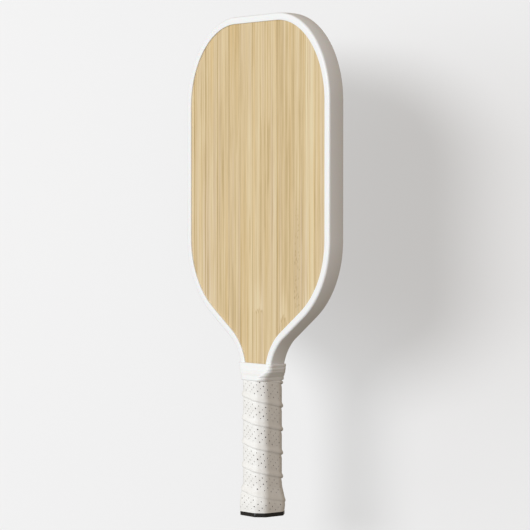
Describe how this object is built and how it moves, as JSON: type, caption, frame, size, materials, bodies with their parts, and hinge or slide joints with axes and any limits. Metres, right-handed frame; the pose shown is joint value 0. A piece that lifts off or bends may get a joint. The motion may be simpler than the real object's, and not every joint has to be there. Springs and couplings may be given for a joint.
{
  "type": "pickleball paddle",
  "caption": "Elongated pickleball paddle: honeycomb sandwich head with bamboo-look faces, white edge guard, ribbed neck collar, wrapped octagonal handle and black butt cap.",
  "frame": {"origin": "centre of the butt cap's end, on the surface that the paddle stands on", "axes": "+Z from the butt end to the top of the head, -Y out of the front face, +X to the right of that face"},
  "size_m": [0.1906, 0.0338, 0.419],
  "materials": {
    "honeycomb": "translucent white polypropylene",
    "veil": "thin bonded polyester veil",
    "fibreglass": "cured fibreglass, pale amber",
    "bamboo_print": "satin film printed with edge-glued bamboo strips",
    "bonding_tape": "double-sided acrylic tape",
    "edge_guard": "smooth white satin plastic",
    "handle_foam": "rigid polyurethane foam",
    "butt_cap": "black moulded plastic, satin",
    "staple_wire": "galvanised wire",
    "badge": "plain black disc with a raised ring",
    "grip_foam": "grey closed-cell foam",
    "grip_cover": "white perforated polyurethane, fine grain",
    "finishing_tape": "white vinyl tape",
    "collar": "white ribbed rubber, satin"
  },
  "bodies": {
    "root": {"honeycomb_core": "honeycomb", "front_veil": "veil", "back_veil": "veil", "front_skin": "fibreglass", "back_skin": "fibreglass", "front_printed_film": "bamboo_print", "back_printed_film": "bamboo_print", "edge_bonding_tape": "bonding_tape", "edge_guard": "edge_guard", "front_handle_pallet": "handle_foam", "back_handle_pallet": "handle_foam", "butt_cap": "butt_cap", "butt_cap_staples": "staple_wire", "butt_badge": "badge", "grip_cushion": "grip_foam", "grip_wrap": "grip_cover", "grip_start_staple": "staple_wire", "finishing_tape": "finishing_tape", "neck_collar": "collar"}
  },
  "joints": []
}
